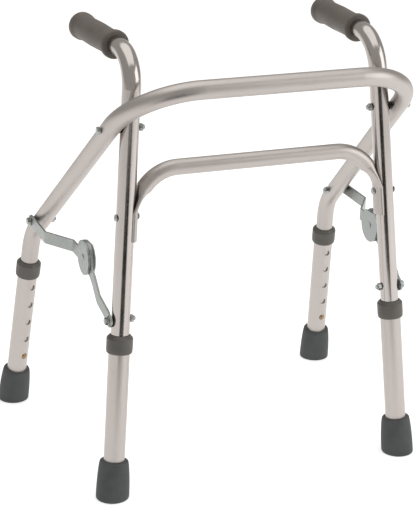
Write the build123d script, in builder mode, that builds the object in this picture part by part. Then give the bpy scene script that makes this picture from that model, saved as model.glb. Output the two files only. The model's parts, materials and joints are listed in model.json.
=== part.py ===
"""Folding height-adjustable walking frame for a child: two bent-tube frames that cross at a
pivot on each side, a folding stay on each side, four telescopic legs with snap buttons.

Frame of the part: +Z up, the floor is Z = 0, +X and -X are the two sides (right and left as
seen from the front), the open side where the child stands faces +Y, the top bar is at -Y.
"""
from build123d import *
from math import atan2, cos, degrees, radians, sin, sqrt
import os

os.makedirs("parts", exist_ok=True)

# ---------------------------------------------------------------- driving dimensions (mm)
TUBE_R = 11.1             # main frame tube, 22.2 mm outside diameter
TUBE_WALL = 1.5
SLEEVE_R = 12.7           # leg extension tube, 25.4 mm outside diameter
SLIDE_CLEARANCE = 0.08    # radial, extension over frame tube
RAIL_R = 9.525            # lower rail tube, 19.05 mm outside diameter
RAIL_WALL = 1.4

FRONT_FOOT_Y = -149.0     # centre of the front feet on the floor
FRONT_HALF_SPREAD = 191.5
FRONT_SPLAY = 0.0723      # sideways slope of an upright, per mm of height
FRONT_LEAN = 0.0744       # rearward slope of an upright
REAR_FOOT_Y = FRONT_FOOT_Y + 322.5
REAR_HALF_SPREAD = 223.4
REAR_SPLAY = 0.0613
REAR_LEAN = 0.2104

FRAME_TUBE_END_Z = 52.0   # lower end of the frame tubes, inside the extensions
REAR_BEND_Z = 250.0       # corner of the rear tube, lower leg to diagonal
REAR_BEND_R = 65.0
TOP_BAR_Z = 502.8
TOP_BAR_Y = FRONT_FOOT_Y - 34.2
TOP_BAR_HALF = 176.9      # corner of the top bar and the diagonals
TOP_BAR_BEND_R = 86.0

GRIP_Z = 530.0
GRIP_BEND_R = 42.0
GRIP_START_Y = FRONT_FOOT_Y + 93.0
GRIP_LENGTH = 122.0
GRIP_END_WALL = 14.0
GRIP_SPLAY = 0.045        # sideways slope of the handle bars, per mm rearward

SEAT_LENGTH = 30.0        # flats pressed on the diagonals at the pivots and rear stay bolts
SEAT_WIDTH = 12.0
SEAT_DEPTH = 0.9

PIVOT_Z = 446.8
STAY_FRONT_Z = 220.5      # bolt of the stay on the upright
STAY_REAR_Y = FRONT_FOOT_Y + 236.5
ELBOW_Y = FRONT_FOOT_Y + 98.0
ELBOW_Z = 272.5

RAIL_Z = 397.2
RAIL_BEND_R = 52.0
RAIL_RIVET_Z = 343.0
TONGUE_END_Z = 315.0
TONGUE_HALF_THICK = 1.5
TONGUE_GAP = 0.12         # saddle off the upright's skin
TONGUE_REACH = 9.6        # half the chord of the saddle that the rail's end is pressed into
FLATTEN_ANGLE = 33.0      # part of the end bend over which the tube is pressed flat
FLATTEN_STEP = 0.12       # the flattened part starts this much inside the round tube's skin
RIVET_R = 2.4

HOLE_PITCH = 26.5
HOLE_COUNT = 5
BUTTON_Z = {"front": 69.0, "rear": 72.0}    # snap buttons, legs at their shortest
REAR_BUTTON_TURN = {-1: 22.0, 1: 6.0}    # degrees the row of holes is turned towards +X
BUTTON_R = 3.9
BUTTON_HOLE_R = 3.98
COLLAR_R = 15.8
COLLAR_LENGTH = 22.5
FRONT_COLLAR_TOP_Z = 203.0
REAR_COLLAR_TOP_Z = 211.0
COLLAR_SEAT = 2.5         # thickness of the lip that rests on the extension's top edge
TIP_TOP_Z = 48.0
TIP_TOP_R = 18.2
TIP_FOOT_R = 20.1
TIP_FOOT_ROUND = 2.2
SLEEVE_LOW_Z = 8.0        # lower end of the extension tube, on the tip's sole
BUTTON_BACK = 6.6         # back of the button's flange, from the leg's centre line
BUTTON_DOME = 1.7
CLIP_WIDTH = 8.0
CLIP_THICK = 0.8

STAY_WIDTH = 15.5
STAY_THICK = 2.5
DISC_R = 21.4
ELBOW_TRAVEL = 14.0       # most the two halves of an open elbow part while folding
ELBOW_HOLE_R = 16.0       # the open elbow pivot wanders inside this hole while the frame folds
REAR_STAY_X = 217.4       # inner face of the rear link where it lies on the rear tube
DISC_X = 193.1            # inner face of the rear link's disc
FRONT_DISC_X = 190.2      # inner face of the front link's ring
FRONT_STAY_X = 188.4      # inner face of the front link at its bolt
FRONT_STAY_BOW = 2.0      # how far the front link bows outwards below the elbow
REAR_STAY_FLAT = 61.0     # straight run of the rear link from its bolt to the first bend
REAR_STAY_JOG = 37.0      # run over which the rear link comes inwards to the disc
STAY_BEND_R = 5.0
COVER_X = 186.0           # inner face of the elbow cover
COVER_PLATE = 1.4
COVER_FLAT = 18.2         # height of the cover's cut-off top above the elbow
DRUM_R = 19.6
DRUM_WALL = 1.2
SPRING_R = 17.1
SPRING_WIRE_R = 0.8

BOLT_R = 2.5
HEAD_FLATS = 8.0
HEAD_HEIGHT = 3.5
WASHER_R = 6.0
SPACER_R = 5.0
WASHER_THICK = 1.2
NUT_HEIGHT = 5.0
PIN_CLEARANCE = 0.06
SEAT_GAP = 0.6            # flat seats stand this far off the sloping skin of a tube
RIVET_HEAD_R = 4.4
RIVET_SEAT = 0.4          # a rivet head off the sloping skin
ELBOW_RIVET_R = 3.0

GRIP_R = 15.0
GRIP_MIDDLE_R = 15.6
GRIP_FLANGE_R = 17.2
GRIP_BULB_R = 16.9
PRESS_GAP = 0.02          # radial, between parts pressed onto each other

SIDES = {"left": -1, "right": 1}


# ---------------------------------------------------------------- reference lines and points
def front_leg(side, z):
    """Point on an upright's centre line at height z."""
    return Vector(side * (FRONT_HALF_SPREAD - FRONT_SPLAY * z), FRONT_FOOT_Y + FRONT_LEAN * z, z)


def rear_leg(side, z):
    """Point on a rear leg's centre line at height z, below the bend."""
    return Vector(side * (REAR_HALF_SPREAD - REAR_SPLAY * z), REAR_FOOT_Y - REAR_LEAN * z, z)


def top_corner(side):
    return Vector(side * TOP_BAR_HALF, TOP_BAR_Y, TOP_BAR_Z)


def diagonal(side, y):
    """Point on the diagonal's centre line at distance y along the part's Y axis."""
    low = rear_leg(side, REAR_BEND_Z)
    high = top_corner(side)
    return low + (high - low) * ((low.Y - y) / (low.Y - high.Y))


def pivot_point(side):
    return front_leg(side, PIVOT_Z)


def leg_line(place, side):
    return front_leg if place == "front" else rear_leg


def leg_up(place, side):
    """Unit vector up a leg's centre line."""
    line = leg_line(place, side)
    return (line(side, 1.0) - line(side, 0.0)).normalized()


def leg_plane(place, side, z):
    """Plane across a leg at height z; its x axis points sideways, its z axis up the leg."""
    up = leg_up(place, side)
    across = Vector(1, 0, 0) - up * up.X
    return Plane(origin=leg_line(place, side)(side, z), x_dir=across.normalized(), z_dir=up)


def button_direction(place, side):
    """Front legs carry their buttons on the rear face, rear legs on the front face."""
    up = leg_up(place, side)
    if place == "front":
        way = Vector(0, 1, 0)
    else:
        turn = radians(REAR_BUTTON_TURN[side])
        way = Vector(sin(turn), -cos(turn), 0)
    return (way - up * up.dot(way)).normalized()


def button_point(place, side, step=0):
    """Centre of an adjustment hole on the leg's centre line, counted up from the button."""
    base = leg_line(place, side)(side, BUTTON_Z[place])
    return base + leg_up(place, side) * (HOLE_PITCH * step)


def x_plane(x, y, z, side):
    """Plane whose normal points outwards along X at the given side."""
    return Plane(origin=(side * x, y, z), x_dir=(0, side, 0), z_dir=(side, 0, 0))


def save(part, name):
    part.label = name
    export_step(part, f"parts/{name}.step")
    return part


# ---------------------------------------------------------------- tubes of the two frames
def bent_tube(points, radii, outer_r, wall):
    """Round tube along straight runs joined by bends of the given radii."""
    with BuildPart() as tube:
        with BuildLine() as route:
            FilletPolyline(*points, radius=radii)
        start = Plane(origin=route.line @ 0, z_dir=route.line % 0)
        with BuildSketch(start):
            Circle(outer_r)
            Circle(outer_r - wall, mode=Mode.SUBTRACT)
        sweep(path=route.line)
    return tube.part


def drill(plane, radius, reach):
    """Cut a hole through the part being built, both ways along the plane's normal."""
    with BuildSketch(plane) as hole:
        Circle(radius)
    extrude(hole.sketch, amount=reach, both=True, mode=Mode.SUBTRACT)


def button_hole(place, side, step, radius):
    """Cut one adjustment hole through the wall on the leg's button side."""
    way = button_direction(place, side)
    with BuildSketch(Plane(origin=button_point(place, side, step), z_dir=way)) as hole:
        Circle(radius)
    extrude(hole.sketch, amount=SLEEVE_R + 2, mode=Mode.SUBTRACT)


def flat_seat(centre, side):
    """Long flat seat on a diagonal's skin, its normal towards the given side."""
    of_side = 1 if centre.X > 0 else -1
    along = (diagonal(of_side, 1.0) - diagonal(of_side, 0.0)).normalized()
    normal = Vector(side, 0, 0)
    normal = (normal - along * along.dot(normal)).normalized()
    plane = Plane(origin=centre + normal * (TUBE_R - SEAT_DEPTH), x_dir=along, z_dir=normal)
    with BuildSketch(plane) as pocket:
        SlotOverall(SEAT_LENGTH, SEAT_WIDTH)
    extrude(pocket.sketch, amount=SEAT_DEPTH + 2, mode=Mode.SUBTRACT)


def grip_axis(side):
    corner = front_leg(side, GRIP_Z)
    return Vector(side * GRIP_SPLAY, 1, 0).normalized(), corner


def upright(side):
    """Front leg, bent back at the top into the handle bar."""
    along, corner = grip_axis(side)
    bar_end = corner + along * (GRIP_START_Y + GRIP_LENGTH - GRIP_END_WALL - corner.Y)
    points = [front_leg(side, FRAME_TUBE_END_Z), corner, bar_end]
    with BuildPart() as body:
        add(bent_tube(points, GRIP_BEND_R, TUBE_R, TUBE_WALL))
        for z, radius in ((PIVOT_Z, BOLT_R + PIN_CLEARANCE), (STAY_FRONT_Z, BOLT_R),
                          (RAIL_RIVET_Z, RIVET_R)):
            centre = front_leg(side, z)
            drill(x_plane(abs(centre.X), centre.Y, z, side), radius, TUBE_R + 2)
        button_hole("front", side, 0, BUTTON_HOLE_R)
    return body.part


def rear_frame_tube():
    """One long tube: rear leg, diagonal, top bar, diagonal, rear leg."""
    points = [
        rear_leg(-1, FRAME_TUBE_END_Z),
        rear_leg(-1, REAR_BEND_Z),
        top_corner(-1),
        top_corner(1),
        rear_leg(1, REAR_BEND_Z),
        rear_leg(1, FRAME_TUBE_END_Z),
    ]
    radii = [REAR_BEND_R, TOP_BAR_BEND_R, TOP_BAR_BEND_R, REAR_BEND_R]
    with BuildPart() as body:
        add(bent_tube(points, radii, TUBE_R, TUBE_WALL))
        for side in SIDES.values():
            pivot = pivot_point(side)
            on_tube = diagonal(side, pivot.Y)
            drill(x_plane(abs(on_tube.X), pivot.Y, PIVOT_Z, side), BOLT_R, TUBE_R + 2)
            stay = diagonal(side, STAY_REAR_Y)
            drill(x_plane(abs(stay.X), stay.Y, stay.Z, side), BOLT_R, TUBE_R + 2)
            flat_seat(on_tube, -side)
            flat_seat(stay, side)
            button_hole("rear", side, 0, BUTTON_HOLE_R)
    return body.part


# ---------------------------------------------------------------- lower rail
def flattened_outline(plane, half_width, half_thick, side_reach, side_half, sag):
    """Closed outline of four arcs: a circle when round, a thin saddle when flattened."""
    right_high = (side_reach, side_half - sag)
    right_low = (side_reach, -side_half - sag)
    left_high = (-side_reach, side_half - sag)
    left_low = (-side_reach, -side_half - sag)
    with BuildSketch(plane) as outline:
        with BuildLine():
            ThreePointArc(left_high, (0, half_thick), right_high)
            ThreePointArc(right_high, (half_width, -sag), right_low)
            ThreePointArc(right_low, (0, -half_thick), left_low)
            ThreePointArc(left_low, (-half_width, -sag), left_high)
        make_face()
    return outline.sketch


class RailEnd:
    """The bend at one end of the lower rail: it turns from level into the upright's direction."""

    def __init__(self, side):
        self.up = leg_up("front", side)
        inward = Vector(-side, 0, 0)
        self.inward = (inward - self.up * self.up.dot(inward)).normalized()
        self.across = self.up.cross(self.inward)
        slope = atan2(abs(self.up.X), self.up.Z)
        self.level_angle = 90 - degrees(slope)
        self.low_z = RAIL_Z - RAIL_BEND_R * (1 - sin(slope)) * cos(slope)
        reach = TUBE_R + TONGUE_HALF_THICK + TONGUE_GAP
        self.low = front_leg(side, self.low_z) + self.inward * reach

    def point(self, angle):
        turned = radians(angle)
        reach = self.inward * (1 - cos(turned)) + self.up * sin(turned)
        return self.low + reach * RAIL_BEND_R

    def plane(self, angle):
        """Plane across the bend, its y axis on the inner side of the upright."""
        turned = radians(angle)
        way = self.up * cos(turned) + self.inward * sin(turned)
        return Plane(origin=self.point(angle), x_dir=self.across * -1, z_dir=way)

    def stages(self):
        """Outlines from the round tube down to the thin saddle that wraps the upright."""
        outer_r = TUBE_R + 2 * TONGUE_HALF_THICK
        outer_drop = outer_r - sqrt(outer_r**2 - TONGUE_REACH**2) - TONGUE_HALF_THICK
        inner_drop = TUBE_R - sqrt(TUBE_R**2 - TONGUE_REACH**2) + TONGUE_HALF_THICK
        saddle_sag = (outer_drop + inner_drop) / 2
        saddle_edge = (inner_drop - outer_drop) / 2
        outlines = []
        for pressed in (0.0, 0.3, 0.65, 1.0):
            angle = FLATTEN_ANGLE * (1 - pressed)
            room = RAIL_BEND_R * (1 - cos(radians(angle))) + TONGUE_HALF_THICK
            thick = min(RAIL_R - FLATTEN_STEP, room)
            wide = RAIL_R - FLATTEN_STEP / 2 + (RAIL_R - thick) / 3 - 1.2 * pressed**4
            reach = wide * (1 - pressed) / sqrt(2) + TONGUE_REACH * pressed
            edge = thick * (1 - pressed) / sqrt(2) + saddle_edge * pressed
            sag = saddle_sag * pressed**2
            outlines.append(flattened_outline(self.plane(angle), wide, thick, reach, edge, sag))
        return outlines


def lower_rail():
    """Front rail: round in the middle, its bent ends flattened into saddles on the uprights."""
    ends = {side: RailEnd(side) for side in (-1, 1)}
    with BuildLine() as route:
        for end in ends.values():
            middle_angle = (FLATTEN_ANGLE + end.level_angle) / 2
            ThreePointArc(end.point(FLATTEN_ANGLE), end.point(middle_angle), end.point(end.level_angle))
        Line(ends[-1].point(end.level_angle), ends[1].point(end.level_angle))
    left = ends[-1].plane(FLATTEN_ANGLE)
    with BuildPart() as body:
        with BuildSketch(left):
            Circle(RAIL_R)
            Circle(RAIL_R - RAIL_WALL, mode=Mode.SUBTRACT)
        sweep(path=route.wires()[0])
        for side, end in ends.items():
            outlines = end.stages()
            loft(outlines)
            extrude(outlines[-1], amount=(end.low_z - TONGUE_END_Z) / end.up.Z, dir=end.up * -1)
            rivet = front_leg(side, RAIL_RIVET_Z)
            drill(x_plane(abs(rivet.X) - TUBE_R, rivet.Y, rivet.Z, side), RIVET_R, TUBE_R / 2)
    return body.part


# ---------------------------------------------------------------- turned and moulded pieces
def turning_plane(origin, axis, radial):
    """Sketch plane for a turned piece: x is the radius, y runs along the axis."""
    return Plane(origin=origin, x_dir=radial, z_dir=radial.cross(axis))


def dome(radius, base, rise):
    """Spherical cap profile from the rim (radius, base) to the axis, tangent to level there."""
    sphere_r = (radius**2 + rise**2) / (2 * rise)
    centre = base + rise - sphere_r
    half = atan2(radius, base - centre) / 2
    middle = (sphere_r * sin(half), centre + sphere_r * cos(half))
    return ThreePointArc((radius, base), middle, (0, base + rise))


def leg_turning_plane(place, side):
    up = leg_up(place, side)
    return turning_plane(leg_line(place, side)(side, 0), up, button_direction(place, side))


def grip(side):
    """Moulded hand grip: flange in front, slim body, closed bulb behind."""
    along, corner = grip_axis(side)
    start = corner + along * (GRIP_START_Y - corner.Y)
    radial = Vector(0, 0, 1)
    bore = TUBE_R + PRESS_GAP
    bore_depth = GRIP_LENGTH - GRIP_END_WALL
    bulb = GRIP_LENGTH - 10.0
    with BuildPart() as body:
        with BuildSketch(turning_plane(start, along, radial)):
            with BuildLine():
                FilletPolyline(
                    (bore, 0), (GRIP_FLANGE_R, 0), (GRIP_FLANGE_R, 7), (GRIP_R, 9.5), (GRIP_R, 30),
                    (GRIP_MIDDLE_R, 60), (GRIP_R, bulb - 12), (GRIP_BULB_R, bulb - 6),
                    (GRIP_BULB_R, bulb),
                    radius=[2.4, 2.4, 1.5, 40, 80, 8, 4])
                dome(GRIP_BULB_R, bulb, GRIP_LENGTH - bulb)
                Polyline((0, GRIP_LENGTH), (0, bore_depth), (bore, bore_depth), (bore, 0))
            make_face()
        revolve(axis=Axis(start, along))
    return body.part


def leg_extension(place, side):
    """Outer tube of a telescopic leg, with the row of adjustment holes."""
    top = collar_top(place) - COLLAR_SEAT
    line = leg_line(place, side)
    low = line(side, SLEEVE_LOW_Z)
    with BuildPart() as body:
        with BuildSketch(leg_plane(place, side, SLEEVE_LOW_Z)):
            Circle(SLEEVE_R)
            Circle(TUBE_R + SLIDE_CLEARANCE, mode=Mode.SUBTRACT)
        extrude(amount=(line(side, top) - low).length)
        for step in range(HOLE_COUNT):
            button_hole(place, side, step, BUTTON_HOLE_R)
    return body.part


def collar_top(place):
    return FRONT_COLLAR_TOP_Z if place == "front" else REAR_COLLAR_TOP_Z


def collar(place, side):
    """Plastic ring pressed on the extension's top; its lip steadies the frame tube."""
    rise = leg_up(place, side).Z
    top = collar_top(place) / rise
    low = top - COLLAR_LENGTH
    seat = (collar_top(place) - COLLAR_SEAT) / rise
    lip = TUBE_R + SLIDE_CLEARANCE
    bore = SLEEVE_R + PRESS_GAP
    plane = leg_turning_plane(place, side)
    with BuildPart() as body:
        with BuildSketch(plane):
            with BuildLine():
                FilletPolyline((bore, low), (COLLAR_R - 0.4, low), (COLLAR_R, low + 5),
                               (COLLAR_R, top - 4), (lip + 0.8, top), radius=[1.6, 3, 2.4])
                Polyline((lip + 0.8, top), (lip, top - 0.8), (lip, seat), (bore, seat), (bore, low))
            make_face()
        revolve(axis=Axis(plane.origin, leg_up(place, side)))
    return body.part


def rubber_tip(place, side):
    """Moulded ferrule: lipped mouth, slightly barrelled side, flat foot on the floor."""
    plane = leg_turning_plane(place, side)
    up = leg_up(place, side)
    top = TIP_TOP_Z / up.Z
    floor_cut = -12.0
    bore = SLEEVE_R + PRESS_GAP
    bore_low = SLEEVE_LOW_Z / up.Z
    with BuildPart() as body:
        with BuildSketch(plane):
            with BuildLine():
                mouth = FilletPolyline((bore, top), (TIP_TOP_R - 1.0, top - 1.5), (TIP_TOP_R, top - 7),
                                       radius=[1.8])
                ThreePointArc(mouth @ 1, (TIP_FOOT_R - 0.5, top / 2), (TIP_FOOT_R, 5))
                Polyline((TIP_FOOT_R, 5), (TIP_FOOT_R, floor_cut), (0, floor_cut), (0, bore_low),
                         (bore, bore_low), (bore, top))
            make_face()
        revolve(axis=Axis(plane.origin, up))
        split(bisect_by=Plane.XY, keep=Keep.TOP)
        foot = body.faces().sort_by(Axis.Z)[0]
        fillet(foot.outer_wire().edges(), radius=TIP_FOOT_ROUND)
    return body.part


def snap_button(place, side):
    """Domed brass button that stands through both tubes."""
    way = button_direction(place, side)
    origin = button_point(place, side)
    dome_base = SLEEVE_R + 0.3
    with BuildPart() as body:
        with BuildSketch(turning_plane(origin, way, leg_up(place, side))):
            with BuildLine():
                Polyline((0, BUTTON_BACK), (BUTTON_R + 1.0, BUTTON_BACK), (BUTTON_R + 1.0, BUTTON_BACK + 1.2),
                         (BUTTON_R, BUTTON_BACK + 1.2), (BUTTON_R, dome_base))
                dome(BUTTON_R, dome_base, BUTTON_DOME)
                Line((0, dome_base + BUTTON_DOME), (0, BUTTON_BACK))
            make_face()
        revolve(axis=Axis(origin, way))
    return body.part


def spring_clip(place, side):
    """Folded strip of spring steel inside the frame tube that carries the button."""
    way = button_direction(place, side)
    up = leg_up(place, side)
    origin = button_point(place, side)
    across = way.cross(up)
    reach = BUTTON_BACK - CLIP_THICK / 2
    profile = ((reach, -6), (reach, 7), (3.6, 32), (-3.6, 32), (-8.0, -12))
    points = [origin + way * out + up * rise for out, rise in profile]
    with BuildPart() as body:
        with BuildLine() as route:
            FilletPolyline(*points, radius=[9, 3, 3])
        with BuildSketch(Plane(origin=route.line @ 0, x_dir=across, z_dir=route.line % 0)):
            Rectangle(CLIP_WIDTH, CLIP_THICK)
        sweep(path=route.line)
    return body.part


# ---------------------------------------------------------------- folding stays
def stay_bolt_point(place, side):
    if place == "front":
        return front_leg(side, STAY_FRONT_Z)
    return diagonal(side, STAY_REAR_Y)


def bent_strip(points, radii, across):
    """Flat strip bent along straight runs, its width along the given direction."""
    with BuildPart() as strip:
        with BuildLine() as route:
            FilletPolyline(*points, radius=radii)
        with BuildSketch(Plane(origin=route.line @ 0, x_dir=across, z_dir=route.line % 0)):
            RectangleRounded(STAY_WIDTH, STAY_THICK, 0.5)
        sweep(path=route.line)
    return strip.part


def stay_route(side, place, stations):
    """Points of a stay link: distance from its bolt towards the elbow, and outward X."""
    bolt = stay_bolt_point(place, side)
    towards = Vector(0, ELBOW_Y - bolt.Y, ELBOW_Z - bolt.Z).normalized()
    points = []
    for run, x in stations:
        points.append(Vector(side * x, bolt.Y + towards.Y * run, bolt.Z + towards.Z * run))
    return points, Vector(side, 0, 0).cross(towards)


def stay_length(place):
    bolt = stay_bolt_point(place, 1)
    return sqrt((ELBOW_Y - bolt.Y) ** 2 + (ELBOW_Z - bolt.Z) ** 2)


def rear_stay_link(side):
    """Rear link: lies on the rear tube, jogs inwards, ends in a plain disc at the elbow."""
    middle = STAY_THICK / 2
    stations = (
        (0, REAR_STAY_X + middle),
        (REAR_STAY_FLAT, REAR_STAY_X + middle),
        (REAR_STAY_FLAT + REAR_STAY_JOG, DISC_X + middle),
        (stay_length("rear") - DISC_R / 2, DISC_X + middle),
    )
    points, across = stay_route(side, "rear", stations)
    bolt = stay_bolt_point("rear", side)
    with BuildPart() as body:
        add(bent_strip(points, STAY_BEND_R, across))
        with BuildSketch(x_plane(REAR_STAY_X, bolt.Y, bolt.Z, side)) as eye:
            Circle(STAY_WIDTH / 2)
        extrude(eye.sketch, amount=STAY_THICK)
        with BuildSketch(x_plane(DISC_X, ELBOW_Y, ELBOW_Z, side)) as disc:
            Circle(DISC_R)
        extrude(disc.sketch, amount=STAY_THICK)
        drill(x_plane(REAR_STAY_X, bolt.Y, bolt.Z, side), BOLT_R + PIN_CLEARANCE, STAY_THICK * 2)
        drill(x_plane(DISC_X, ELBOW_Y, ELBOW_Z, side), ELBOW_RIVET_R, STAY_THICK * 2)
    return body.part


def front_stay_link(side):
    """Front link: an open ring at the elbow, a strip bowed outwards, an eye on the upright."""
    middle = STAY_THICK / 2
    length = stay_length("front")
    stations = (
        (0, FRONT_STAY_X + middle),
        (9, FRONT_STAY_X + middle),
        (33, FRONT_DISC_X + FRONT_STAY_BOW + middle),
        (length - DISC_R - ELBOW_TRAVEL, FRONT_DISC_X + middle),
        (length - (DISC_R + ELBOW_HOLE_R) / 2, FRONT_DISC_X + middle),
    )
    points, across = stay_route(side, "front", stations)
    bolt = stay_bolt_point("front", side)
    elbow = x_plane(FRONT_DISC_X, ELBOW_Y, ELBOW_Z, side)
    with BuildPart() as body:
        add(bent_strip(points, STAY_BEND_R, across))
        with BuildSketch(x_plane(FRONT_STAY_X, bolt.Y, bolt.Z, side)) as eye:
            Circle(STAY_WIDTH / 2)
        extrude(eye.sketch, amount=STAY_THICK)
        with BuildSketch(elbow) as ring:
            Circle(DISC_R)
        extrude(ring.sketch, amount=STAY_THICK)
        drill(elbow, ELBOW_HOLE_R, STAY_THICK * 2)
        drill(x_plane(FRONT_STAY_X, bolt.Y, bolt.Z, side), BOLT_R + PIN_CLEARANCE, STAY_THICK * 2)
    return body.part


def elbow_cover(side):
    """Cover of the elbow spring: a plate with a cut-off top and a drum behind it."""
    plate = x_plane(COVER_X, ELBOW_Y, ELBOW_Z, side)
    drum_depth = FRONT_DISC_X - COVER_X - COVER_PLATE
    with BuildPart() as body:
        with BuildSketch(plate):
            Circle(DISC_R)
            with Locations((0, COVER_FLAT - 2 * DISC_R)):
                Rectangle(4 * DISC_R, 4 * DISC_R, mode=Mode.INTERSECT)
        extrude(amount=COVER_PLATE)
        with BuildSketch(plate.offset(COVER_PLATE)):
            Circle(DRUM_R)
            Circle(DRUM_R - DRUM_WALL, mode=Mode.SUBTRACT)
        extrude(amount=drum_depth)
        with BuildSketch(plate):
            Circle(RIVET_HEAD_R)
        extrude(amount=-0.8, taper=25)
    return body.part


def elbow_spring(side):
    """Open ring of spring wire in the drum of the elbow cover."""
    middle_x = (FRONT_DISC_X + COVER_X + COVER_PLATE) / 2
    with BuildPart() as body:
        with BuildLine(x_plane(middle_x, ELBOW_Y, ELBOW_Z, side)) as route:
            CenterArc((0, 0), SPRING_R, 15, 330)
        with BuildSketch(Plane(origin=route.line @ 0, z_dir=route.line % 0)):
            Circle(SPRING_WIRE_R)
        sweep(path=route.line)
    return body.part


def elbow_rivet(side):
    """Stub rivet fixed in the rear link's disc."""
    stub = DISC_X - (COVER_X + COVER_PLATE + 0.6)
    face = DISC_X + STAY_THICK
    with BuildPart() as body:
        with BuildSketch(x_plane(DISC_X - stub, ELBOW_Y, ELBOW_Z, side)):
            Circle(ELBOW_RIVET_R)
        extrude(amount=stub + STAY_THICK)
        with BuildSketch(x_plane(face, ELBOW_Y, ELBOW_Z, side)):
            Circle(RIVET_HEAD_R)
        extrude(amount=1.0, taper=35)
    return body.part


# ---------------------------------------------------------------- fasteners, one node per kind
def both_sides(make):
    """The same fastener on the left and on the right, as two separate solids of one node."""
    solids = []
    for side in SIDES.values():
        solids += make(side).solids()
    return Compound(children=solids)


def hex_bolt(centre, side, head_x, tip_x):
    """Hexagon bolt along X: the head's seat at head_x, the end of the thread at tip_x."""
    with BuildPart() as body:
        with BuildSketch(x_plane(tip_x, centre.Y, centre.Z, side)):
            Circle(BOLT_R)
        extrude(amount=head_x - tip_x)
        with BuildSketch(x_plane(head_x, centre.Y, centre.Z, side)):
            RegularPolygon(HEAD_FLATS / 2, 6, major_radius=False)
        extrude(amount=HEAD_HEIGHT)
        crown = body.faces().sort_by(Axis((0, 0, 0), (side, 0, 0)))[-1]
        chamfer(crown.edges(), length=0.6)
    return body.part


def plain_washer(centre, side, low_x, thick, outer_r, bore_r):
    with BuildPart() as body:
        with BuildSketch(x_plane(low_x, centre.Y, centre.Z, side)):
            Circle(outer_r)
            Circle(bore_r, mode=Mode.SUBTRACT)
        extrude(amount=thick)
        chamfer(body.edges().filter_by(GeomType.CIRCLE).group_by(SortBy.RADIUS)[-1], length=0.2)
    return body.part


def dome_nut(centre, side, seat_x):
    """Self-locking nut on the inner side: hexagon below, rounded collar above."""
    with BuildPart() as body:
        with BuildSketch(x_plane(seat_x, centre.Y, centre.Z, side)):
            RegularPolygon(HEAD_FLATS / 2, 6, major_radius=False)
        extrude(amount=-NUT_HEIGHT * 0.7)
        with BuildSketch(x_plane(seat_x - NUT_HEIGHT * 0.7, centre.Y, centre.Z, side)):
            Circle(HEAD_FLATS / 2 - 0.6)
        extrude(amount=-NUT_HEIGHT * 0.3, taper=20)
        drill(x_plane(seat_x, centre.Y, centre.Z, side), BOLT_R, NUT_HEIGHT * 2)
    return body.part


def pivot_tube_x(side, outward):
    """X of the diagonal's skin at the pivot, on its outer or inner side."""
    centre = diagonal(side, pivot_point(side).Y)
    return abs(centre.X) + outward * TUBE_R


def pivot_centre(side):
    point = pivot_point(side)
    return Vector(0, point.Y, point.Z)


def pivot_bolt(side):
    head = pivot_tube_x(side, 1) + SEAT_GAP
    tip = abs(pivot_point(side).X) - TUBE_R - SEAT_GAP - NUT_HEIGHT - 1
    return hex_bolt(pivot_centre(side), side, head, tip)


def pivot_spacer(side):
    """Thin nylon ring between the upright and the rear tube."""
    low_x = abs(pivot_point(side).X) + TUBE_R + SEAT_GAP
    thick = pivot_tube_x(side, -1) + SEAT_DEPTH - SEAT_GAP - low_x
    return plain_washer(pivot_centre(side), side, low_x, thick, SPACER_R, BOLT_R)


def pivot_nut(side):
    seat = abs(pivot_point(side).X) - TUBE_R - SEAT_GAP
    return dome_nut(pivot_centre(side), side, seat)


def stay_link_x(place):
    return FRONT_STAY_X if place == "front" else REAR_STAY_X


def stay_bolt(place, side):
    centre = stay_bolt_point(place, side)
    head = stay_link_x(place) + STAY_THICK + 0.1 + WASHER_THICK
    tip = abs(centre.X) - TUBE_R - SEAT_GAP - NUT_HEIGHT - 1
    return hex_bolt(centre, side, head, tip)


def stay_washers(place, side):
    """Spacer between tube and link, and the washer under the bolt's head."""
    centre = stay_bolt_point(place, side)
    tube_x = abs(centre.X) + TUBE_R + SEAT_GAP
    if place == "rear":
        tube_x -= SEAT_DEPTH
    link_x = stay_link_x(place)
    with BuildPart() as body:
        add(plain_washer(centre, side, tube_x, link_x - 0.1 - tube_x, WASHER_R, BOLT_R))
        add(plain_washer(centre, side, link_x + STAY_THICK + 0.1, WASHER_THICK, WASHER_R, BOLT_R))
    return body.part


def stay_nut(place, side):
    centre = stay_bolt_point(place, side)
    return dome_nut(centre, side, abs(centre.X) - TUBE_R - SEAT_GAP)


def rail_rivet(side):
    """Rivet through the upright and the rail's saddle."""
    centre = front_leg(side, RAIL_RIVET_Z)
    outer_x = abs(centre.X) + TUBE_R + RIVET_SEAT
    inner_x = abs(centre.X) - TUBE_R - 2 * TONGUE_HALF_THICK - RIVET_SEAT
    with BuildPart() as body:
        with BuildSketch(x_plane(inner_x, centre.Y, centre.Z, side)):
            Circle(RIVET_R)
        extrude(amount=outer_x - inner_x)
        with BuildSketch(x_plane(outer_x, centre.Y, centre.Z, side)):
            Circle(RIVET_HEAD_R)
        extrude(amount=2.0, taper=30)
        with BuildSketch(x_plane(inner_x, centre.Y, centre.Z, side)):
            Circle(RIVET_HEAD_R)
        extrude(amount=-1.8, taper=30)
    return body.part


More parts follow.
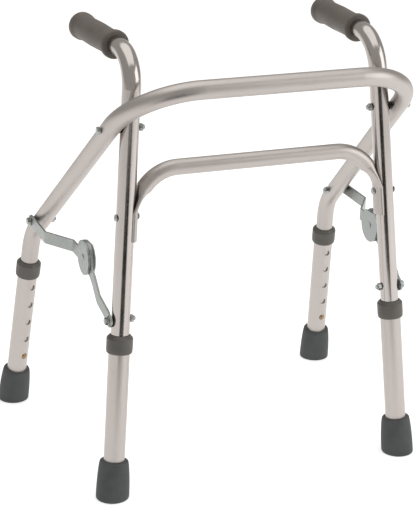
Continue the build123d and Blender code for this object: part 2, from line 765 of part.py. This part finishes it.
# ---------------------------------------------------------------- the whole part
save(rear_frame_tube(), "rear_frame_tube")
save(lower_rail(), "lower_rail")
save(both_sides(pivot_bolt), "pivot_bolts")
save(both_sides(pivot_spacer), "pivot_spacers")
save(both_sides(pivot_nut), "pivot_nuts")
save(both_sides(rail_rivet), "rail_rivets")
for place in ("front", "rear"):
    save(both_sides(lambda side: stay_bolt(place, side)), f"{place}_stay_bolts")
    save(both_sides(lambda side: stay_washers(place, side)), f"{place}_stay_washers")
    save(both_sides(lambda side: stay_nut(place, side)), f"{place}_stay_nuts")
for name, side in SIDES.items():
    save(upright(side), f"{name}_upright")
    save(grip(side), f"{name}_grip")
    save(rear_stay_link(side), f"{name}_rear_stay_link")
    save(front_stay_link(side), f"{name}_front_stay_link")
    save(elbow_cover(side), f"{name}_elbow_cover")
    save(elbow_spring(side), f"{name}_elbow_spring")
    save(elbow_rivet(side), f"{name}_elbow_rivet")
    for place in ("front", "rear"):
        save(leg_extension(place, side), f"{name}_{place}_extension")
        save(collar(place, side), f"{name}_{place}_collar")
        save(rubber_tip(place, side), f"{name}_{place}_tip")
        save(snap_button(place, side), f"{name}_{place}_snap_button")
        save(spring_clip(place, side), f"{name}_{place}_spring_clip")
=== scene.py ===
"""Looks of the folding walking frame: its finishes, the spring clips and the studio."""
import json
from math import cos, radians, sin

import bpy
from bpy.props import FloatProperty, FloatVectorProperty
from mathutils import Matrix, Vector


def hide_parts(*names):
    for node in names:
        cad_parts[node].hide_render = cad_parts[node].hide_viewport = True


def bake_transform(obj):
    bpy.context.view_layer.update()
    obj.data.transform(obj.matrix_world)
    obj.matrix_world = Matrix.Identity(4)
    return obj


bl_info = {
    "name": "Folding Walking Frame",
    "version": (1, 0, 0),
    "blender": (4, 5, 0),
    "location": "3D View > Sidebar > Walking Frame",
    "description": "Finishes a folding walking frame and sets up its studio",
    "category": "Object",
}

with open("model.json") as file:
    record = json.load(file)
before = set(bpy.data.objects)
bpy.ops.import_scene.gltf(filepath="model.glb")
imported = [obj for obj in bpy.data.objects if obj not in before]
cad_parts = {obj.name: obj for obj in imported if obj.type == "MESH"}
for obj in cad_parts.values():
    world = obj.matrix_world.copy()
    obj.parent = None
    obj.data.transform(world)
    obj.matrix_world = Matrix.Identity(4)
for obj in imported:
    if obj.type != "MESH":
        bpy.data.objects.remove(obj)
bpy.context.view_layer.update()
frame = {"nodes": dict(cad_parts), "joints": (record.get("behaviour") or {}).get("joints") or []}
SIDES = ("left", "right")
PLACES = ("front", "rear")

# camera: place in metres, turns in radians
CAMERA_PLACE = (-0.81235, -1.98083, 0.98995)
CAMERA_YAW = 0.383646
CAMERA_PITCH = -0.337152
CAMERA_ROLL = 0.018352
SENSOR_WIDTH = 36.0
CLIP_END = 50.0

# lamps: place and width in metres, all aimed at one point
KEY_PLACE = (1.6, -1.3, 1.1)
KEY_WIDTH = 1.6
TOP_PLACE = (0.0, 0.1, 2.5)
TOP_WIDTH = 2.8
LAMP_AIM = (0.0, 0.0, 0.25)

# black fan on the floor
CARD_NEAR = 0.85
CARD_FAR = 6.0
CARD_HEIGHT = 0.002
CARD_BEARING = radians(-102)
CARD_HALF_ANGLE = radians(21)
CARD_STEPS = 16
CARD_COLOUR = (0.02, 0.02, 0.015, 1.0)

FLOOR_REACH = 12.0


# ---------------------------------------------------------------- settings shown in the sidebar
def colour(name, description, default):
    return FloatVectorProperty(name=name, description=description, default=default,
                               subtype="COLOR", size=3, min=0.0, max=1.0)


class FrameFinish(bpy.types.PropertyGroup):
    """Colours and surface values of the pieces."""

    tube_colour: colour("Tube", "Bare drawn aluminium of the tubes", (0.475, 0.44, 0.418))
    tube_roughness: FloatProperty(name="Upright roughness", description="Polish of the uprights",
                                  default=0.17, min=0.0, max=1.0, subtype="FACTOR")
    satin_roughness: FloatProperty(name="Satin roughness",
                                   description="Satin finish of the bars and the outer leg tubes",
                                   default=0.39, min=0.0, max=1.0, subtype="FACTOR")
    zinc_colour: colour("Zinc", "Zinc plating of stays and bolts", (0.33, 0.35, 0.345))
    spring_colour: colour("Spring steel", "Oiled spring steel", (0.26, 0.26, 0.27))
    brass_colour: colour("Brass", "Snap buttons", (0.30, 0.20, 0.10))
    grip_colour: colour("Grip", "Moulded hand grips", (0.105, 0.090, 0.076))
    collar_colour: colour("Collar", "Moulded leg collars", (0.088, 0.082, 0.072))
    rubber_colour: colour("Rubber", "Rubber leg tips", (0.058, 0.061, 0.064))
    nylon_colour: colour("Nylon", "Black nylon spacers", (0.015, 0.015, 0.016))


class StudioSettings(bpy.types.PropertyGroup):
    """Camera and light of the studio."""

    lens: FloatProperty(name="Lens", description="Focal length of the camera", default=127.67,
                        min=10.0, unit="CAMERA")
    fill: FloatProperty(name="Fill", description="Strength of the even light all round",
                        default=0.5, min=0.0)
    key: FloatProperty(name="Key", description="Power of the large lamp at the front right, in watts",
                       default=14.0, min=0.0)
    top: FloatProperty(name="Top", description="Power of the lamp above, in watts",
                       default=24.0, min=0.0)
    glow: FloatProperty(name="Paper glow", description="Light given off by the paper floor",
                        default=0.5, min=0.0)
    floor_colour: colour("Floor", "Paper floor", (0.93, 0.93, 0.93))


# ---------------------------------------------------------------- node helpers
def link(tree, output, target):
    tree.links.new(output, target)


def new_group(name, inputs, outputs):
    """Node group with named sockets; inputs carry their defaults."""
    tree = bpy.data.node_groups.new(name, "ShaderNodeTree")
    for label, kind, default in inputs:
        socket = tree.interface.new_socket(name=label, in_out="INPUT", socket_type=kind)
        socket.default_value = default
    for label, kind in outputs:
        tree.interface.new_socket(name=label, in_out="OUTPUT", socket_type=kind)
    entry = tree.nodes.new("NodeGroupInput")
    leave = tree.nodes.new("NodeGroupOutput")
    return tree, entry, leave


def math_node(tree, operation, first, second=None):
    node = tree.nodes.new("ShaderNodeMath")
    node.operation = operation
    for socket, value in zip(node.inputs, (first, second)):
        if value is None:
            continue
        if isinstance(value, bpy.types.NodeSocket):
            link(tree, value, socket)
        else:
            socket.default_value = value
    return node.outputs[0]


def object_point(tree):
    return tree.nodes.new("ShaderNodeTexCoord").outputs["Object"]


def noise(tree, vector, scale, detail=3.0, roughness=0.55):
    node = tree.nodes.new("ShaderNodeTexNoise")
    node.inputs["Detail"].default_value = detail
    node.inputs["Roughness"].default_value = roughness
    if isinstance(scale, bpy.types.NodeSocket):
        link(tree, scale, node.inputs["Scale"])
    else:
        node.inputs["Scale"].default_value = scale
    link(tree, vector, node.inputs["Vector"])
    return node.outputs["Fac"]


def remap(tree, value, low, high, out_low, out_high):
    node = tree.nodes.new("ShaderNodeMapRange")
    link(tree, value, node.inputs["Value"])
    for label, number in (("From Min", low), ("From Max", high), ("To Min", out_low),
                          ("To Max", out_high)):
        if isinstance(number, bpy.types.NodeSocket):
            link(tree, number, node.inputs[label])
        else:
            node.inputs[label].default_value = number
    return node.outputs["Result"]


def mix_colour(tree, factor, first, second):
    node = tree.nodes.new("ShaderNodeMix")
    node.data_type = "RGBA"
    for value, label in ((factor, 0), (first, 6), (second, 7)):
        socket = node.inputs[label]
        if isinstance(value, bpy.types.NodeSocket):
            link(tree, value, socket)
        else:
            socket.default_value = value
    return node.outputs[2]


def drawn_grain_group():
    """Draw lines along one direction: fine streaks in height, roughness and tone."""
    tree, entry, leave = new_group(
        "Drawn Grain",
        (("Along", "NodeSocketVector", (0.0, 0.0, 1.0)), ("Scale", "NodeSocketFloat", 900.0),
         ("Stretch", "NodeSocketFloat", 0.97), ("Smoothest", "NodeSocketFloat", 0.2),
         ("Roughest", "NodeSocketFloat", 0.34)),
        (("Height", "NodeSocketFloat"), ("Roughness", "NodeSocketFloat"), ("Tone", "NodeSocketFloat")))
    point = object_point(tree)
    dot = tree.nodes.new("ShaderNodeVectorMath")
    dot.operation = "DOT_PRODUCT"
    link(tree, point, dot.inputs[0])
    link(tree, entry.outputs["Along"], dot.inputs[1])
    shift = math_node(tree, "MULTIPLY", dot.outputs["Value"], entry.outputs["Stretch"])
    back = tree.nodes.new("ShaderNodeVectorMath")
    back.operation = "SCALE"
    link(tree, entry.outputs["Along"], back.inputs[0])
    link(tree, shift, back.inputs["Scale"])
    squeezed = tree.nodes.new("ShaderNodeVectorMath")
    squeezed.operation = "SUBTRACT"
    link(tree, point, squeezed.inputs[0])
    link(tree, back.outputs[0], squeezed.inputs[1])
    streaks = noise(tree, squeezed.outputs[0], entry.outputs["Scale"], detail=2.0)
    clouds = noise(tree, point, 24.0, detail=4.0)
    blend = math_node(tree, "ADD", math_node(tree, "MULTIPLY", streaks, 0.45),
                      math_node(tree, "MULTIPLY", clouds, 0.55))
    link(tree, streaks, leave.inputs["Height"])
    link(tree, remap(tree, blend, 0.3, 0.7, entry.outputs["Smoothest"], entry.outputs["Roughest"]),
         leave.inputs["Roughness"])
    link(tree, remap(tree, blend, 0.25, 0.75, 0.0, 1.0), leave.inputs["Tone"])
    return tree


def handling_marks_group():
    """Fine scuffs and small marks that come from use."""
    tree, entry, leave = new_group(
        "Handling Marks",
        (("Scale", "NodeSocketFloat", 60.0), ("Amount", "NodeSocketFloat", 0.5)),
        (("Mask", "NodeSocketFloat"),))
    point = object_point(tree)
    voronoi = tree.nodes.new("ShaderNodeTexVoronoi")
    voronoi.feature = "DISTANCE_TO_EDGE"
    link(tree, entry.outputs["Scale"], voronoi.inputs["Scale"])
    warp = tree.nodes.new("ShaderNodeVectorMath")
    warp.operation = "ADD"
    swirl = tree.nodes.new("ShaderNodeTexNoise")
    swirl.inputs["Scale"].default_value = 18.0
    link(tree, point, swirl.inputs["Vector"])
    soften = tree.nodes.new("ShaderNodeVectorMath")
    soften.operation = "SCALE"
    soften.inputs["Scale"].default_value = 0.04
    link(tree, swirl.outputs["Color"], soften.inputs[0])
    link(tree, point, warp.inputs[0])
    link(tree, soften.outputs[0], warp.inputs[1])
    link(tree, warp.outputs[0], voronoi.inputs["Vector"])
    lines = remap(tree, voronoi.outputs["Distance"], 0.0, 0.02, 1.0, 0.0)
    patches = remap(tree, noise(tree, point, 35.0), 0.55, 0.7, 0.0, 1.0)
    mask = math_node(tree, "MULTIPLY", math_node(tree, "MULTIPLY", lines, patches),
                     entry.outputs["Amount"])
    link(tree, mask, leave.inputs["Mask"])
    return tree


def moulded_skin_group():
    """Moulded plastic or rubber: pebbled height, cloudy tone and roughness, a paler colour mixed in on
    upward-facing surfaces.
    """
    tree, entry, leave = new_group(
        "Moulded Skin",
        (("Colour", "NodeSocketColor", (0.1, 0.1, 0.1, 1.0)),
         ("Dust Colour", "NodeSocketColor", (0.3, 0.28, 0.25, 1.0)),
         ("Pebble Scale", "NodeSocketFloat", 900.0), ("Dust", "NodeSocketFloat", 0.15),
         ("Smoothest", "NodeSocketFloat", 0.5), ("Roughest", "NodeSocketFloat", 0.7)),
        (("Colour", "NodeSocketColor"), ("Roughness", "NodeSocketFloat"), ("Height", "NodeSocketFloat")))
    point = object_point(tree)
    pebbles = noise(tree, point, entry.outputs["Pebble Scale"], detail=2.0)
    clouds = noise(tree, point, 45.0, detail=5.0, roughness=0.6)
    normal = tree.nodes.new("ShaderNodeNewGeometry").outputs["Normal"]
    split = tree.nodes.new("ShaderNodeSeparateXYZ")
    link(tree, normal, split.inputs[0])
    # upward-facing surfaces get a paler colour mixed in, more the more they face up
    facing_up = remap(tree, split.outputs["Z"], 0.1, 1.0, 0.25, 1.0)
    topside_mix = math_node(tree, "MULTIPLY", math_node(tree, "MULTIPLY", facing_up, entry.outputs["Dust"]),
                      remap(tree, clouds, 0.35, 0.65, 0.3, 1.0))
    shade = tree.nodes.new("ShaderNodeVectorMath")
    shade.operation = "SCALE"
    link(tree, entry.outputs["Colour"], shade.inputs[0])
    link(tree, remap(tree, clouds, 0.3, 0.7, 0.82, 1.14), shade.inputs["Scale"])
    link(tree, mix_colour(tree, topside_mix, shade.outputs[0], entry.outputs["Dust Colour"]),
         leave.inputs["Colour"])
    link(tree, remap(tree, clouds, 0.3, 0.7, entry.outputs["Smoothest"], entry.outputs["Roughest"]),
         leave.inputs["Roughness"])
    link(tree, pebbles, leave.inputs["Height"])
    return tree


GROUP_MAKERS = {
    "Drawn Grain": drawn_grain_group,
    "Handling Marks": handling_marks_group,
    "Moulded Skin": moulded_skin_group,
}


def placed_group(tree, name, **values):
    """A shared node group placed in a material with its own values."""
    group = bpy.data.node_groups.get(name) or GROUP_MAKERS[name]()
    node = tree.nodes.new("ShaderNodeGroup")
    node.node_tree = group
    for label, value in values.items():
        node.inputs[label.replace("_", " ")].default_value = value
    return node


def new_material(name):
    material = bpy.data.materials.new(name)
    material.use_nodes = True
    tree = material.node_tree
    return material, tree, tree.nodes["Principled BSDF"]


def add_bump(tree, shader, height, distance, strength=1.0):
    bump = tree.nodes.new("ShaderNodeBump")
    bump.inputs["Distance"].default_value = distance
    bump.inputs["Strength"].default_value = strength
    link(tree, height, bump.inputs["Height"])
    link(tree, bump.outputs["Normal"], shader.inputs["Normal"])


# ---------------------------------------------------------------- materials
def drawn_metal(name, base, roughness, along=(0.0, 0.0, 1.0), stretch=0.97, grain=900.0,
                bump=2.5e-6, marks=0.35):
    """Bright drawn metal with draw lines, clouded polish and a few scuffs."""
    material, tree, shader = new_material(name)
    shader.inputs["Metallic"].default_value = 1.0
    grain_node = placed_group(tree, "Drawn Grain", Along=along, Scale=grain, Stretch=stretch,
                              Smoothest=roughness * 0.8, Roughest=roughness * 1.3)
    marks_node = placed_group(tree, "Handling Marks", Scale=55.0, Amount=marks)
    light = tuple(min(1.0, c * 1.05) for c in base) + (1.0,)
    dark = tuple(c * 0.93 for c in base) + (1.0,)
    tone = mix_colour(tree, grain_node.outputs["Tone"], dark, light)
    dull = tuple(c * 0.72 for c in base) + (1.0,)
    link(tree, mix_colour(tree, marks_node.outputs["Mask"], tone, dull), shader.inputs["Base Color"])
    scuffed = math_node(tree, "MULTIPLY", marks_node.outputs["Mask"], 0.25)
    link(tree, math_node(tree, "ADD", grain_node.outputs["Roughness"], scuffed),
         shader.inputs["Roughness"])
    add_bump(tree, shader, grain_node.outputs["Height"], bump)
    return material


def zinc_plate(name, base, roughness=0.36):
    """Zinc plating: crystal patches, bluish tone, rubbed bright in places."""
    material, tree, shader = new_material(name)
    shader.inputs["Metallic"].default_value = 1.0
    point = object_point(tree)
    crystals = tree.nodes.new("ShaderNodeTexVoronoi")
    crystals.inputs["Scale"].default_value = 420.0
    link(tree, point, crystals.inputs["Vector"])
    split = tree.nodes.new("ShaderNodeSeparateColor")
    link(tree, crystals.outputs["Color"], split.inputs[0])
    clouds = noise(tree, point, 70.0, detail=4.0)
    tone = math_node(tree, "ADD", math_node(tree, "MULTIPLY", split.outputs[0], 0.35),
                     math_node(tree, "MULTIPLY", clouds, 0.65))
    cool = (base[0] * 0.82, base[1] * 0.86, base[2] * 0.9, 1.0)
    warm = (min(1.0, base[0] * 1.16), min(1.0, base[1] * 1.12), base[2] * 1.04, 1.0)
    marks_node = placed_group(tree, "Handling Marks", Scale=120.0, Amount=0.6)
    plated = mix_colour(tree, remap(tree, tone, 0.25, 0.75, 0.0, 1.0), cool, warm)
    link(tree, mix_colour(tree, marks_node.outputs["Mask"], plated, (0.8, 0.8, 0.8, 1.0)),
         shader.inputs["Base Color"])
    link(tree, remap(tree, tone, 0.3, 0.7, roughness * 0.75, roughness * 1.3),
         shader.inputs["Roughness"])
    add_bump(tree, shader, tone, 6e-6)
    return material


def moulded(name, base, topside_colour, smoothest, roughest, pebbles=900.0, topside=0.15, depth=3e-5,
            specular=0.4):
    material, tree, shader = new_material(name)
    shader.inputs["Specular IOR Level"].default_value = specular
    # the pale colour and its amount go mostly onto upward-facing surfaces
    skin = placed_group(tree, "Moulded Skin", Colour=(*base, 1.0), Dust_Colour=(*topside_colour, 1.0),
                        Pebble_Scale=pebbles, Dust=topside, Smoothest=smoothest, Roughest=roughest)
    link(tree, skin.outputs["Colour"], shader.inputs["Base Color"])
    link(tree, skin.outputs["Roughness"], shader.inputs["Roughness"])
    add_bump(tree, shader, skin.outputs["Height"], depth)
    return material


def paint(node, material):
    """Gives a CAD node its finish."""
    slots = frame["nodes"][node].data.materials
    slots.clear()
    slots.append(material)


# ---------------------------------------------------------------- mesh helpers
def joint_named(name):
    return next(j for j in frame["joints"] if j["name"] == name)


def leg_axis(side_name, place):
    """Point where a leg's centre line meets the floor, and the unit vector up the leg."""
    slide = joint_named(f"{side_name}_{place}_leg_slide")
    up = -Vector(slide["axis"]).normalized()
    point = Vector(slide["pos_m"])
    return point - up * (point.z / up.z), up


# ---------------------------------------------------------------- operators, one per group of pieces
class FrameOperator:
    bl_options = {"REGISTER", "UNDO"}

    @property
    def finish(self):
        return bpy.context.scene.walker_finish


class WALKER_OT_frame_tubes(FrameOperator, bpy.types.Operator):
    """Finishes the bent tubes of both frames and the lower rail"""

    bl_idname = "walker.frame_tubes"
    bl_label = "Frame tubes"

    def execute(self, context):
        finish = self.finish
        base, roughness = tuple(finish.tube_colour), finish.tube_roughness
        for side_name in SIDES:
            _, up = leg_axis(side_name, "front")
            upright = drawn_metal(f"drawn_aluminium_{side_name}_upright", base, roughness, along=up)
            paint(f"{side_name}_upright", upright)
        satin = finish.satin_roughness
        paint("rear_frame_tube", drawn_metal("satin_aluminium_rear_frame", base, satin, stretch=0.4))
        paint("lower_rail", drawn_metal("satin_aluminium_rail", base, satin, along=(1.0, 0.0, 0.0)))
        return {"FINISHED"}


class WALKER_OT_leg_extensions(FrameOperator, bpy.types.Operator):
    """Finishes the four outer leg tubes"""

    bl_idname = "walker.leg_extensions"
    bl_label = "Leg extensions"

    def execute(self, context):
        base = tuple(self.finish.tube_colour)
        for side_name in SIDES:
            for place in PLACES:
                _, up = leg_axis(side_name, place)
                metal = drawn_metal(f"satin_aluminium_{side_name}_{place}_leg", base,
                                    self.finish.satin_roughness * 0.85, along=up,
                                    bump=5e-6, marks=0.6)
                paint(f"{side_name}_{place}_extension", metal)
        return {"FINISHED"}


class WALKER_OT_hand_grips(FrameOperator, bpy.types.Operator):
    """Finishes the moulded hand grips"""

    bl_idname = "walker.hand_grips"
    bl_label = "Hand grips"

    def execute(self, context):
        material = moulded("grip_plastic", tuple(self.finish.grip_colour), (0.26, 0.24, 0.21),
                           0.42, 0.62, pebbles=1500.0, topside=0.2, depth=4e-5)
        for side_name in SIDES:
            paint(f"{side_name}_grip", material)
        return {"FINISHED"}


class WALKER_OT_leg_collars(FrameOperator, bpy.types.Operator):
    """Finishes the moulded rings at the top of the extensions"""

    bl_idname = "walker.leg_collars"
    bl_label = "Leg collars"

    def execute(self, context):
        material = moulded("collar_plastic", tuple(self.finish.collar_colour), (0.22, 0.21, 0.19),
                           0.36, 0.52, pebbles=1300.0, topside=0.16, depth=2e-5)
        for side_name in SIDES:
            for place in PLACES:
                paint(f"{side_name}_{place}_collar", material)
        return {"FINISHED"}


class WALKER_OT_rubber_tips(FrameOperator, bpy.types.Operator):
    """Finishes the rubber tips"""

    bl_idname = "walker.rubber_tips"
    bl_label = "Rubber tips"

    def execute(self, context):
        material = moulded("tip_rubber", tuple(self.finish.rubber_colour), (0.24, 0.23, 0.21),
                           0.5, 0.72, pebbles=1100.0, topside=0.18, depth=4e-5, specular=0.3)
        for side_name in SIDES:
            for place in PLACES:
                paint(f"{side_name}_{place}_tip", material)
        return {"FINISHED"}


class WALKER_OT_folding_stays(FrameOperator, bpy.types.Operator):
    """Finishes the strip links, elbow covers, springs and rivets of the stays"""

    bl_idname = "walker.folding_stays"
    bl_label = "Folding stays"

    def execute(self, context):
        strip = zinc_plate("zinc_strip", tuple(self.finish.zinc_colour))
        spring = drawn_metal("spring_wire", tuple(self.finish.spring_colour), 0.3, stretch=0.0)
        for side_name in SIDES:
            for node in ("rear_stay_link", "front_stay_link", "elbow_cover", "elbow_rivet"):
                paint(f"{side_name}_{node}", strip)
            paint(f"{side_name}_elbow_spring", spring)
        return {"FINISHED"}


class WALKER_OT_fasteners(FrameOperator, bpy.types.Operator):
    """Finishes bolts, washers, nuts, spacers and rivets"""

    bl_idname = "walker.fasteners"
    bl_label = "Fasteners"

    def execute(self, context):
        plated = zinc_plate("zinc_fastener", tuple(c * 1.05 for c in self.finish.zinc_colour), 0.3)
        for node in ("pivot_bolts", "pivot_nuts", "rail_rivets"):
            paint(node, plated)
        for place in PLACES:
            for kind in ("bolts", "washers", "nuts"):
                paint(f"{place}_stay_{kind}", plated)
        paint("pivot_spacers", moulded("nylon_spacer", tuple(self.finish.nylon_colour),
                                       (0.1, 0.1, 0.1), 0.3, 0.45, topside=0.1, depth=1e-5))
        return {"FINISHED"}


class WALKER_OT_snap_buttons(FrameOperator, bpy.types.Operator):
    """Finishes the brass snap buttons and gives copies of their spring clips the steel finish"""

    bl_idname = "walker.snap_buttons"
    bl_label = "Snap buttons"

    def execute(self, context):
        brass = drawn_metal("button_brass", tuple(self.finish.brass_colour), 0.25, stretch=0.0)
        steel = drawn_metal("clip_steel", tuple(self.finish.spring_colour), 0.35, stretch=0.0)
        for side_name in SIDES:
            for place in PLACES:
                paint(f"{side_name}_{place}_snap_button", brass)
                self.bending_clip(side_name, place, steel)
        return {"FINISHED"}


    def bending_clip(self, side_name, place, steel):
        """Copies the clip into a new object with the steel finish and hides the CAD clip"""
        node = f"{side_name}_{place}_spring_clip"
        still = frame["nodes"][node]
        data = still.data.copy()
        data.name = f"{node}_bending"
        data.transform(still.matrix_world)
        data.materials.clear()
        data.materials.append(steel)
        clip = bpy.data.objects.new(f"{node}_bending", data)
        bpy.context.scene.collection.objects.link(clip)
        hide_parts(node)
        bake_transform(clip)



class WALKER_OT_studio(FrameOperator, bpy.types.Operator):
    """Sets up the paper floor, the soft lamps, the even light all round and the camera"""

    bl_idname = "walker.studio"
    bl_label = "Studio"

    def execute(self, context):
        studio = context.scene.walker_studio
        context.scene.view_settings.view_transform = "Standard"
        self.paper_floor(studio)
        self.even_light(context, studio)
        self.soft_lamp("key_lamp", KEY_PLACE, KEY_WIDTH, studio.key)
        self.soft_lamp("top_lamp", TOP_PLACE, TOP_WIDTH, studio.top)
        self.dark_card()
        self.camera(context, studio)
        return {"FINISHED"}

    def paper_floor(self, studio):
        data = bpy.data.meshes.new("paper_floor")
        reach = FLOOR_REACH
        data.from_pydata([(-reach, -reach, 0), (reach, -reach, 0), (reach, reach, 0),
                          (-reach, reach, 0)], [], [(0, 1, 2, 3)])
        floor = bpy.data.objects.new("paper_floor", data)
        bpy.context.scene.collection.objects.link(floor)
        material, tree, shader = new_material("paper")
        base = tuple(studio.floor_colour)
        fibre = noise(tree, object_point(tree), 300.0)
        link(tree, mix_colour(tree, fibre, (*(c * 0.985 for c in base), 1.0), (*base, 1.0)),
             shader.inputs["Base Color"])
        shader.inputs["Roughness"].default_value = 0.9
        shader.inputs["Specular IOR Level"].default_value = 0.1
        shader.inputs["Emission Color"].default_value = (1.0, 1.0, 1.0, 1.0)
        shader.inputs["Emission Strength"].default_value = studio.glow
        data.materials.append(material)

    def even_light(self, context, studio):
        world = bpy.data.worlds.new("even_light")
        context.scene.world = world
        world.use_nodes = True
        tree = world.node_tree
        tree.nodes.clear()
        seen = tree.nodes.new("ShaderNodeBackground")
        seen.inputs["Color"].default_value = (1.0, 1.0, 1.0, 1.0)
        light = tree.nodes.new("ShaderNodeBackground")
        light.inputs["Color"].default_value = (1.0, 0.975, 0.95, 1.0)
        light.inputs["Strength"].default_value = studio.fill
        path = tree.nodes.new("ShaderNodeLightPath")
        mix = tree.nodes.new("ShaderNodeMixShader")
        out = tree.nodes.new("ShaderNodeOutputWorld")
        link(tree, path.outputs["Is Camera Ray"], mix.inputs["Fac"])
        link(tree, light.outputs[0], mix.inputs[1])
        link(tree, seen.outputs[0], mix.inputs[2])
        link(tree, mix.outputs[0], out.inputs["Surface"])

    def soft_lamp(self, name, place, width, power):
        lamp = bpy.data.lights.new(name, "AREA")
        lamp.shape = "RECTANGLE"
        lamp.size = width
        lamp.size_y = width
        lamp.energy = power
        holder = bpy.data.objects.new(name, lamp)
        bpy.context.scene.collection.objects.link(holder)
        holder.location = place
        aim = Vector(LAMP_AIM) - Vector(place)
        holder.rotation_mode = "QUATERNION"
        holder.rotation_quaternion = aim.to_track_quat("-Z", "Y")

    def dark_card(self):
        """Black fan on the floor in front that draws the dark line down the middle of each leg"""
        points = []
        for step in range(CARD_STEPS + 1):
            turn = CARD_BEARING + CARD_HALF_ANGLE * (2.0 * step / CARD_STEPS - 1.0)
            for reach in (CARD_NEAR, CARD_FAR):
                points.append((reach * cos(turn), reach * sin(turn), CARD_HEIGHT))
        faces = [(2 * k, 2 * k + 1, 2 * k + 3, 2 * k + 2) for k in range(CARD_STEPS)]
        data = bpy.data.meshes.new("dark_card")
        data.from_pydata(points, [], faces)
        card = bpy.data.objects.new("dark_card", data)
        bpy.context.scene.collection.objects.link(card)
        material, tree, shader = new_material("black_card")
        shader.inputs["Base Color"].default_value = CARD_COLOUR
        shader.inputs["Specular IOR Level"].default_value = 0.0
        data.materials.append(material)
        card.visible_camera = False
        card.visible_diffuse = False
        card.visible_shadow = False

    def camera(self, context, studio):
        data = bpy.data.cameras.new("camera")
        data.lens = studio.lens
        data.sensor_width = SENSOR_WIDTH
        data.clip_end = CLIP_END
        holder = bpy.data.objects.new("camera", data)
        context.scene.collection.objects.link(holder)
        ahead = Vector((sin(CAMERA_YAW) * cos(CAMERA_PITCH), cos(CAMERA_YAW) * cos(CAMERA_PITCH),
                        sin(CAMERA_PITCH)))
        right = Vector((cos(CAMERA_YAW), -sin(CAMERA_YAW), 0.0))
        up = right.cross(ahead)
        rolled_right = right * cos(CAMERA_ROLL) + up * sin(CAMERA_ROLL)
        rolled_up = up * cos(CAMERA_ROLL) - right * sin(CAMERA_ROLL)
        turn = Matrix((rolled_right, rolled_up, -ahead)).transposed()
        holder.matrix_world = Matrix.Translation(CAMERA_PLACE) @ turn.to_4x4()
        context.scene.camera = holder


# ---------------------------------------------------------------- panel and registration
OPERATORS = (
    WALKER_OT_frame_tubes,
    WALKER_OT_leg_extensions,
    WALKER_OT_hand_grips,
    WALKER_OT_leg_collars,
    WALKER_OT_rubber_tips,
    WALKER_OT_folding_stays,
    WALKER_OT_fasteners,
    WALKER_OT_snap_buttons,
    WALKER_OT_studio,
)


class WALKER_PT_panel(bpy.types.Panel):
    """Lists the finishes and the steps that build the looks"""

    bl_idname = "WALKER_PT_panel"
    bl_label = "Walking Frame"
    bl_space_type = "VIEW_3D"
    bl_region_type = "UI"
    bl_category = "Walking Frame"

    def draw(self, context):
        column = self.layout.column()
        for settings in (context.scene.walker_finish, context.scene.walker_studio):
            for name in settings.__annotations__:
                column.prop(settings, name)
        for operator in OPERATORS:
            column.operator(operator.bl_idname)


CLASSES = (FrameFinish, StudioSettings, *OPERATORS, WALKER_PT_panel)


def register():
    for item in CLASSES:
        bpy.utils.register_class(item)
    bpy.types.Scene.walker_finish = bpy.props.PointerProperty(type=FrameFinish)
    bpy.types.Scene.walker_studio = bpy.props.PointerProperty(type=StudioSettings)


def unregister():
    del bpy.types.Scene.walker_studio
    del bpy.types.Scene.walker_finish
    for item in reversed(CLASSES):
        bpy.utils.unregister_class(item)


def main():
    register()
    for operator in OPERATORS:
        group, name = operator.bl_idname.split(".")
        getattr(getattr(bpy.ops, group), name)()


if __name__ == "__main__":
    main()
